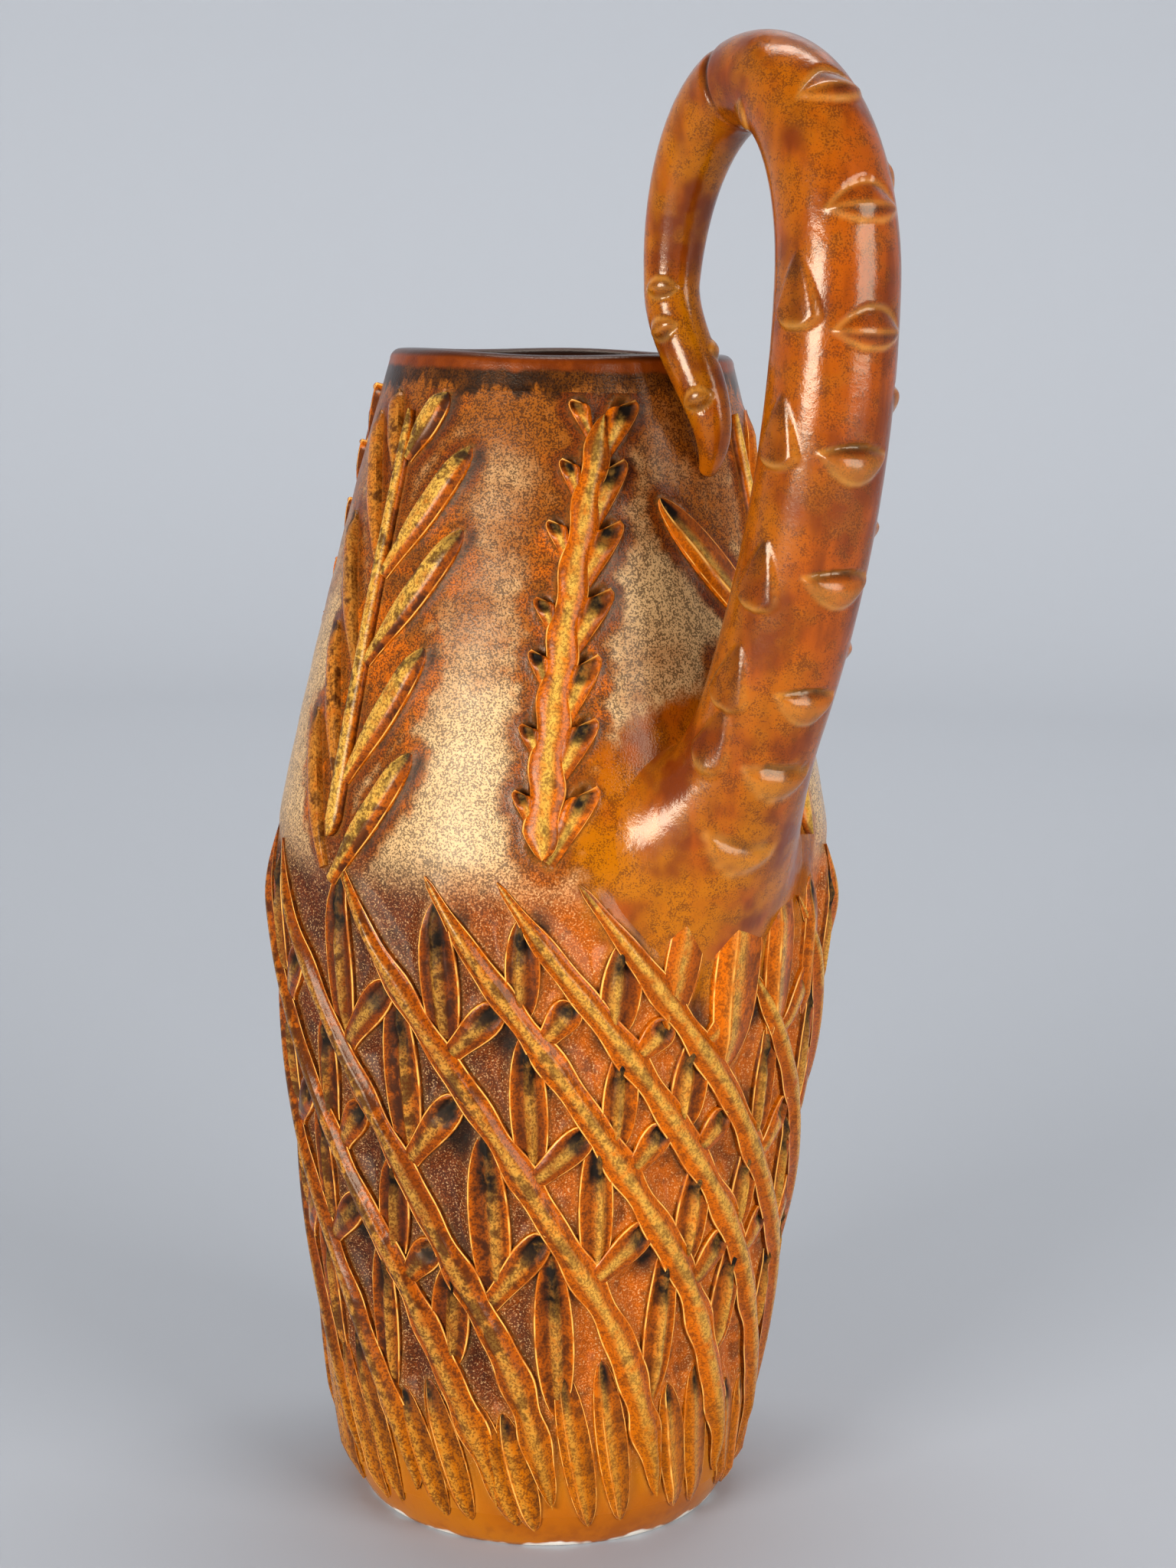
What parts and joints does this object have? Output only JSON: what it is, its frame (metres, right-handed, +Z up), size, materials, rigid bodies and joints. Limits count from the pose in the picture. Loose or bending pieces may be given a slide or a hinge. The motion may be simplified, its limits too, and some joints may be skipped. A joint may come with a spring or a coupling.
{
  "type": "leaf-and-branch jug",
  "caption": "Tall glazed earthenware jug with a plaited-leaf lower body, fronds on the shoulder and a scarred branch handle that arches over the mouth.",
  "frame": {"origin": "centre of the flat underside, on the floor", "axes": "+Z up along the jug's axis; +X from the axis towards the branch handle; +Y completes the right-handed frame"},
  "size_m": [0.1724, 0.1318, 0.3359],
  "materials": {
    "amber_glaze": "speckled satin",
    "dark_glaze": "gloss",
    "gold_glaze": "gloss",
    "bark_glaze": "gloss",
    "bare_clay": "matt"
  },
  "bodies": {
    "root": {"base_slab": "bare_clay", "lower_wall": "dark_glaze", "upper_wall": "amber_glaze", "lip_coil": "bark_glaze", "handle_root": "bark_glaze", "handle_trunk": "bark_glaze", "handle_tendril": "bark_glaze", "outer_scar_lips": "gold_glaze", "near_scar_lips": "gold_glaze", "far_scar_lips": "gold_glaze", "tendril_buds": "gold_glaze", "frond_rib_1": "gold_glaze", "frond_rib_2": "gold_glaze", "frond_rib_3": "gold_glaze", "frond_rib_4": "gold_glaze", "frond_rib_5": "gold_glaze", "frond_rib_6": "gold_glaze", "frond_leaflets_1": "gold_glaze", "frond_leaflets_2": "gold_glaze", "frond_leaflets_3": "gold_glaze", "frond_leaflets_4": "gold_glaze", "frond_leaflets_5": "gold_glaze", "frond_leaflets_6": "gold_glaze", "plait_strap_1": "gold_glaze", "plait_strap_2": "gold_glaze", "plait_strap_3": "gold_glaze", "plait_strap_4": "gold_glaze", "plait_strap_5": "gold_glaze", "plait_strap_6": "gold_glaze", "plait_strap_7": "gold_glaze", "plait_strap_8": "gold_glaze", "plait_strap_9": "gold_glaze", "plait_strap_10": "gold_glaze", "plait_strap_11": "gold_glaze", "plait_strap_12": "gold_glaze", "plait_strap_13": "gold_glaze", "plait_strap_14": "gold_glaze", "plait_strap_15": "gold_glaze", "plait_strap_16": "gold_glaze", "foot_blades": "gold_glaze", "plait_uprights_1": "dark_glaze", "plait_uprights_2": "dark_glaze", "plait_uprights_3": "dark_glaze", "plait_uprights_4": "dark_glaze", "plait_crosses_1": "amber_glaze", "plait_crosses_2": "amber_glaze", "plait_crosses_3": "amber_glaze"}
  },
  "joints": []
}
